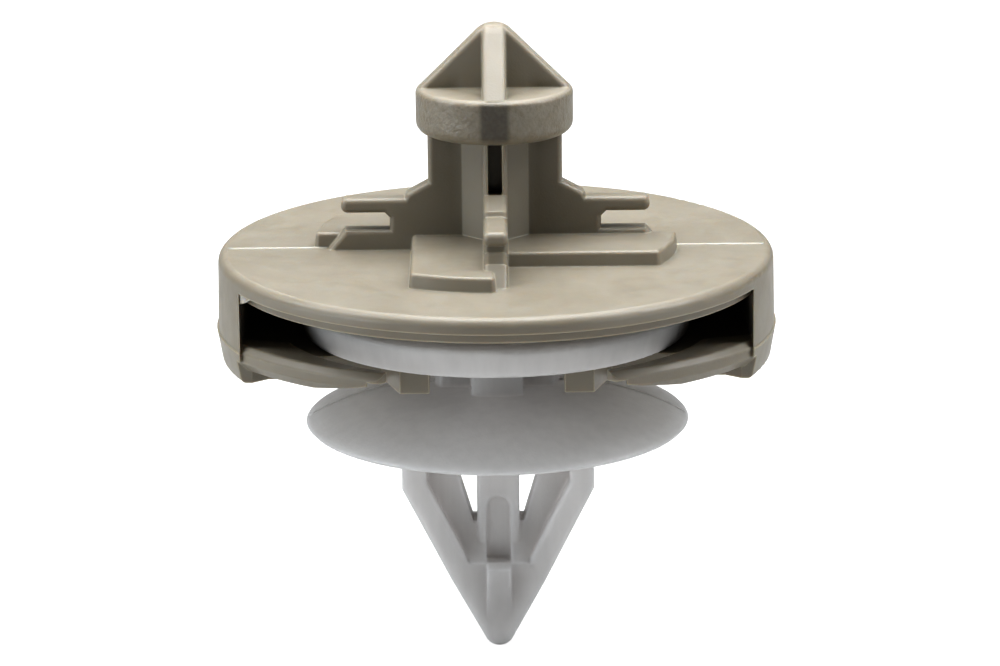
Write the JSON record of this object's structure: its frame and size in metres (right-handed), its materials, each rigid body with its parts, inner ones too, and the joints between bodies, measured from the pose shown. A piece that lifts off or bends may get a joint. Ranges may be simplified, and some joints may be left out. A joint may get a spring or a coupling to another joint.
{
  "type": "door panel clip",
  "caption": "Car door panel clip: tan nylon retainer with a locking post, holding a white nylon push clip with a seal.",
  "frame": {"origin": "on the clip's axis, in the plane of the seal's rim, where the door's sheet metal lies", "axes": "+Z along the axis towards the trim panel and the locking post, -Y towards the open front of the retainer's pocket, +X to the right seen from that front"},
  "size_m": [0.0272, 0.0272, 0.0314],
  "materials": {
    "tan_nylon": "satin moulded",
    "white_nylon": "satin moulded, slightly translucent"
  },
  "bodies": {
    "retainer": {"retainer": "tan_nylon"},
    "push_clip": {"push_clip": "white_nylon"}
  },
  "joints": [
    {"name": "clip_swivel", "type": "hinge", "parent": "retainer", "child": "push_clip", "pos_m": [0, 0, 0], "axis": [0, 0, 1], "continuous": true}
  ]
}
